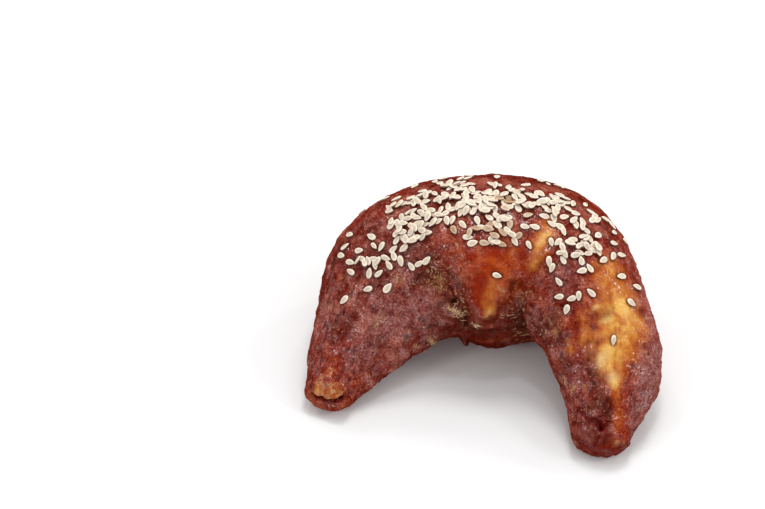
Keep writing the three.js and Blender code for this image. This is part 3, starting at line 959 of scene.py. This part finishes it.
def seed_form():
    """Points and faces of one seed, a flat teardrop with its tip at +x, and its masks."""
    u = -np.cos(np.pi * (np.arange(SEED_RINGS) + 0.6) / (SEED_RINGS + 0.2))
    outline = (1 + u) ** 0.5 * (1 - u) ** 0.78
    outline /= outline.max()
    turn = 2 * np.pi * np.arange(SEED_SIDES) / SEED_SIDES
    x = np.repeat(0.5 * u[:, None], SEED_SIDES, 1)
    y = 0.5 * outline[:, None] * np.cos(turn)[None]
    profile = np.sign(np.sin(turn)) * np.abs(np.sin(turn)) ** 0.6
    z = 0.5 * (outline**0.6)[:, None] * profile[None]
    points = np.concatenate([np.stack([x, y, z], -1).reshape(-1, 3), [[-0.5, 0, 0], [0.5, 0, 0]]])
    rim = smooth_step(0.3, 0.85, np.hypot(np.abs(u)[:, None] ** 1.5, np.cos(turn)[None]))
    masks = {
        "rim": np.concatenate([rim.ravel(), [1.0, 1.0]]),
        # painted shade: a thin brown band round the seed's edge
        "edge_shade": (np.abs(points[:, 2]) < SEED_EDGE / SEED["thick"]).astype(float),
    }
    return points, tube_faces(SEED_RINGS, SEED_SIDES), masks


def skin_frames(along, around, shift):
    """Points on the finished skin, outward normals, and directions along the crescent."""
    step_along, step_around = 0.012, 2.0
    base = skin_point(along, around)
    extra = slow_relief(base) + fine_relief(along, around, base)
    forward = skin_point(along + step_along, around) - skin_point(along - step_along, around)
    sideways = skin_point(along, around + step_around) - skin_point(along, around - step_around)
    normal = np.cross(sideways, forward)
    normal /= np.linalg.norm(normal, axis=-1, keepdims=True)
    forward /= np.linalg.norm(forward, axis=-1, keepdims=True)
    return skin_point(along, around, extra) + shift, normal, forward


def strew(shift, random):
    """Where each seed lies: foot, normal, axis, level and toast. Seeds that meet are stacked."""
    places = [(at, degrees, math.radians(turn)) for at, degrees, turn in LONE_SEEDS]
    for at, degrees, count in HANDFULS:
        spots = random.normal((at, degrees), HANDFUL_REACH, (count, 2))
        places.extend((*spot, random.uniform(0, 2 * np.pi)) for spot in spots)
    along, around, turns = np.array(places).T
    toasted = random.random(len(places)) < strongest(along, around, TOASTED)
    toasts = np.where(toasted, random.uniform(0.4, 1.0, len(places)), 0.0)
    laid = []
    for foot, normal, forward, turn, toast in zip(*skin_frames(along, around, shift), turns, toasts):
        gaps = [(np.linalg.norm(seed["foot"] - foot), seed["level"]) for seed in laid]
        level = 1 + max((level for gap, level in gaps if gap < SEED_GAP), default=-1)
        if level <= SEED_LEVELS and min(gaps, default=(SEED_GAP, 0))[0] > SEED_CROWD:
            axis = np.cos(turn) * forward + np.sin(turn) * np.cross(forward, normal)
            laid.append({"foot": foot, "normal": normal, "axis": axis, "level": level, "toast": toast})
    return laid


def paint_seed_shade(points, seeds):
    """Painted shade on the skin round the seeds' feet: 1 there, 0 away from them."""
    nearest = np.full(points.shape[:-1], SEED_SHADE_REACH[1])
    half = 0.5 * (SEED["length"] - SEED["width"])
    for seed in seeds:
        offset = points - seed["foot"]
        close = (np.abs(offset) < half + SEED_SHADE_REACH[1]).all(-1)
        run = np.clip(offset[close] @ seed["axis"], -half, half)
        gap = np.linalg.norm(offset[close] - run[:, None] * seed["axis"], axis=-1)
        nearest[close] = np.minimum(nearest[close], gap)
    return smooth_step(SEED_SHADE_REACH[1], SEED_SHADE_REACH[0], nearest)


def lay_seed(seed, form, random):
    """The points of one seed, tilted and sized at random, lying where it belongs."""
    tilt = random.normal(0, STACKED_TILT if seed["level"] else SEED_TILT, 2)
    normal = seed["normal"]
    axis = seed["axis"] + tilt[0] * normal
    axis /= np.linalg.norm(axis)
    up = normal + tilt[1] * np.cross(normal, axis)
    up -= axis * (up @ axis)
    up /= np.linalg.norm(up)
    grown = random.normal(1.0, SEED_VARIETY, 2)
    scale = grown[0] * np.array([SEED["length"], SEED["width"] * grown[1], SEED["thick"]])
    lift = SEED["thick"] * (0.5 + SEED_STEP * seed["level"]) - SEED_SINK
    return seed["foot"] + lift * normal + (form * scale) @ np.stack([axis, np.cross(up, axis), up])


def make_seeds(seeds, random):
    """All seeds joined in one piece."""
    form, one, form_masks = seed_form()
    points = np.concatenate([lay_seed(seed, form, random) for seed in seeds])
    faces = [[corner + k * len(form) for corner in face] for k in range(len(seeds)) for face in one]
    piece = shown_mesh("sesame_seeds", points, faces)
    for name, values in form_masks.items():
        set_attribute(piece.data, name, np.tile(values, len(seeds)))
    set_attribute(piece.data, "toast", np.repeat([seed["toast"] for seed in seeds], len(form)))
    return piece


# ---------------------------------------------------------------- frayed fibres

FRAY = {"radius": 0.075, "steps": 8, "sides": 5, "bow": 0.35, "gap": 0.06}
FRAY_DRAWS = 8  # starts the random draws for the fibres
# Tufts: along, around, spread along, spread around, how many, length, paleness, heading (0 along, 90 around)
# and how far the headings fan out
TUFTS = [
    (-0.37, 76, 0.02, 2.5, 26, 2.2, 0.5, 50, 40), (-0.29, 83, 0.03, 1.8, 22, 2.6, 0.5, 20, 30),
    (-0.13, 92.5, 0.025, 0.7, 8, 2.6, 0.95, -5, 14), (-0.26, 69.5, 0.006, 0.8, 5, 1.1, 0.95, 20, 90),
    (-0.45, 46, 0.04, 6, 34, 1.4, 0.15, 40, 60), (-0.42, 36, 0.05, 4, 12, 1.4, 0.3, 20, 60),
    (0.24, 82, 0.03, 2, 6, 1.8, 0.3, -10, 20), (0.34, 72, 0.012, 8, 4, 1.2, 0.2, 80, 50),
    (0.54, 71, 0.008, 0.8, 5, 2.8, 0.95, 15, 12), (0.625, 56, 0.012, 3, 9, 1.4, 0.2, 80, 60),
    (-0.595, 102, 0.012, 5, 18, 1.5, 0.45, 80, 30), (-0.68, 90, 0.008, 3, 8, 1.4, 0.3, 80, 20),
    (-0.885, 108, 0.006, 3, 5, 1.3, 0.8, 85, 15), (0.87, 35, 0.006, 2, 6, 0.8, 0.2, 90, 60),
    (0.8, 70, 0.01, 4, 5, 1.2, 0.3, 85, 25), (0.1, 160, 0.3, 12, 16, 2.0, 0.1, 0, 60),
    (-0.1, -112, 0.3, 20, 16, 1.8, 0.3, 0, 60),
]


def fray_path(foot, normal, forward, heading, length, random):
    """Points of one fibre that starts at foot, sets out on a heading and lies close to the skin."""
    steps = FRAY["steps"]
    headings = heading + np.cumsum(random.normal(random.normal(0, 0.12), 0.12, steps))
    way = np.cos(headings)[:, None] * forward + np.sin(headings)[:, None] * np.cross(forward, normal)
    bow = FRAY["bow"] * random.uniform(0.1, 1.0) * np.sin(np.pi * np.linspace(0.05, 1, steps))
    path = foot + np.cumsum(way, 0) * length / steps + (bow + FRAY["gap"])[:, None] * normal
    path[:, 2] = np.maximum(path[:, 2], FRAY["radius"])
    return path


def fray_tube(path, normal):
    """Rings round a path, thinning towards both ends, and their two end points."""
    along = np.gradient(path, axis=0)
    along /= np.linalg.norm(along, axis=1)[:, None]
    side = np.cross(along, normal)
    side /= np.linalg.norm(side, axis=1)[:, None]
    up = np.cross(side, along)
    turn = 2 * np.pi * np.arange(FRAY["sides"]) / FRAY["sides"]
    radius = FRAY["radius"] * np.sin(np.pi * np.linspace(0.12, 0.92, len(path)))[:, None, None]
    rings = np.cos(turn)[None, :, None] * side[:, None] + np.sin(turn)[None, :, None] * up[:, None]
    return np.concatenate([(path[:, None] + radius * rings).reshape(-1, 3), path[[0, -1]]])


def make_frays(shift):
    """All loose fibres joined in one piece."""
    random = np.random.default_rng(FRAY_DRAWS)
    one = tube_faces(FRAY["steps"], FRAY["sides"])
    points, faces, pales = [], [], []
    for at, degrees, spread_along, spread_around, count, length, pale, heading, fan in TUFTS:
        spots = random.normal((at, degrees), (spread_along, spread_around), (count, 2)).T
        for foot, normal, forward in zip(*skin_frames(*spots, shift)):
            turn = math.radians(random.normal(heading, fan))
            path = fray_path(foot, normal, forward, turn, length * random.uniform(0.5, 1.2), random)
            tube = fray_tube(path, normal)
            faces.extend([[i + len(points) * len(tube) for i in face] for face in one])
            points.append(tube)
            pales.append(np.full(len(tube), np.clip(random.normal(pale, 0.15), 0, 1)))
    frays = shown_mesh("meat_frays", np.concatenate(points), faces)
    set_attribute(frays.data, "pale", np.concatenate(pales))
    return frays


# ---------------------------------------------------------------- floor, lights, camera


FLOOR_SIZE = 6.0
FLOOR_WHITE = (0.87, 0.87, 0.87, 1.0)


def make_floor():
    bpy.ops.mesh.primitive_plane_add(size=FLOOR_SIZE, location=(0, 0, 0))
    floor = bpy.context.object
    floor.name = "floor"
    s = Shader("white_floor")
    s.put(Base_Color=FLOOR_WHITE, Roughness=0.6, Specular_IOR_Level=0.2)
    floor.data.materials.append(s.material)


def add_light(name, place, size, watts):
    """A square softbox aimed at the croissant."""
    light = bpy.data.lights.new(name, "AREA")
    light.shape = "SQUARE"
    light.size = size
    light.energy = watts
    holder = bpy.data.objects.new(name, light)
    holder.location = place
    holder.rotation_euler = (Vector(LIGHTS_AIM) - Vector(place)).to_track_quat("-Z", "Y").to_euler()
    bpy.context.scene.collection.objects.link(holder)


LIGHTS_AIM = (0.0, 0.0, 0.02)
# Softboxes: place and size in metres, watts
SOFTBOXES = [((0.0, 0.25, 0.74), 0.2, 1.7), ((-0.45, -0.5, 0.4), 0.14, 0.8), ((0.62, 0.0, 0.45), 0.14, 0.9)]
# Places of small bright lamps that a wet skin mirrors as glints
LAMPS = [
    (-0.6, 0.3, 0.5), (-0.3, 0.5, 0.6), (0.1, 0.6, 0.6), (0.4, 0.5, 0.55), (0.65, 0.3, 0.45), (0.0, 0.0, 0.8),
]
LAMP_SIZE = 0.06
LAMP_WATTS = 0.42
SKY_TOP = (0.05, -0.1, 1.0)  # where the soft light all around is strongest
SKY_EDGE = -0.6  # how far below the horizon it is weakest, 0 being level and -1 straight down
SKY_LOW = 0.07
SKY_HIGH = 0.8


def light_scene():
    """Soft light all around that is strongest from above, softboxes for shade, and lamps for the glints."""
    world = bpy.data.worlds.new("studio")
    world.use_nodes = True
    tree = world.node_tree
    direction = tree.nodes.new("ShaderNodeTexCoord").outputs["Generated"]
    facing = tree.nodes.new("ShaderNodeVectorMath")
    facing.operation = "DOT_PRODUCT"
    facing.inputs[1].default_value = SKY_TOP
    tree.links.new(direction, facing.inputs[0])
    glow = tree.nodes.new("ShaderNodeMapRange")
    for name, value in (("From Min", SKY_EDGE), ("To Min", SKY_LOW), ("To Max", SKY_HIGH)):
        glow.inputs[name].default_value = value
    tree.links.new(facing.outputs["Value"], glow.inputs["Value"])
    background = tree.nodes["Background"]
    background.inputs["Color"].default_value = (1.0, 1.0, 1.0, 1.0)
    tree.links.new(glow.outputs["Result"], background.inputs["Strength"])
    bpy.context.scene.world = world
    for i, (place, size, watts) in enumerate(SOFTBOXES):
        add_light(f"softbox_{i + 1}", place, size, watts)
    for i, place in enumerate(LAMPS):
        add_light(f"lamp_{i + 1}", place, LAMP_SIZE, LAMP_WATTS)


# Degrees and millimetres
CAMERA = {"azimuth": 9.0, "elevation": 47.0, "distance": 750.0, "lens": 117.0, "sensor": 36.0}
CLIP_START = 0.01  # metres
CAMERA_CENTRE = (0.0, 0.0, 20.0)
CAMERA_AIM = (-34.4, 11.7)  # millimetres right and up of the centre, as the camera sees it


def make_camera():
    azimuth, elevation = math.radians(CAMERA["azimuth"]), math.radians(CAMERA["elevation"])
    level = Vector((math.sin(azimuth), -math.cos(azimuth), 0))
    back = level * math.cos(elevation) + Vector((0, 0, math.sin(elevation)))
    right = Vector((math.cos(azimuth), math.sin(azimuth), 0))
    centre = Vector(CAMERA_CENTRE)
    place = centre + back * CAMERA["distance"]
    aim = centre + right * CAMERA_AIM[0] + back.cross(right) * CAMERA_AIM[1]
    data = bpy.data.cameras.new("camera")
    data.lens = CAMERA["lens"]
    data.sensor_width = CAMERA["sensor"]
    data.clip_start = CLIP_START
    camera = bpy.data.objects.new("camera", data)
    camera.location = place * MM
    camera.rotation_euler = (aim - place).to_track_quat("-Z", "Y").to_euler()
    bpy.context.scene.collection.objects.link(camera)
    bpy.context.scene.camera = camera


# ---------------------------------------------------------------- putting it together


def dress(piece, material):
    piece.data.materials.append(material)
    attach(piece, "root")


make_camera()
make_floor()
light_scene()
bpy.context.scene.view_settings.view_transform = "Standard"

SHIFT = form_shift()
RANDOM = np.random.default_rng(SEED_DRAWS)
SEEDS = strew(SHIFT, RANDOM)
skin = make_skin(SHIFT, SEEDS)
dress(skin, wrap_material())
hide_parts(NODE)
dress(make_seeds(SEEDS, RANDOM), seed_material())
dress(make_frays(SHIFT), fray_material())
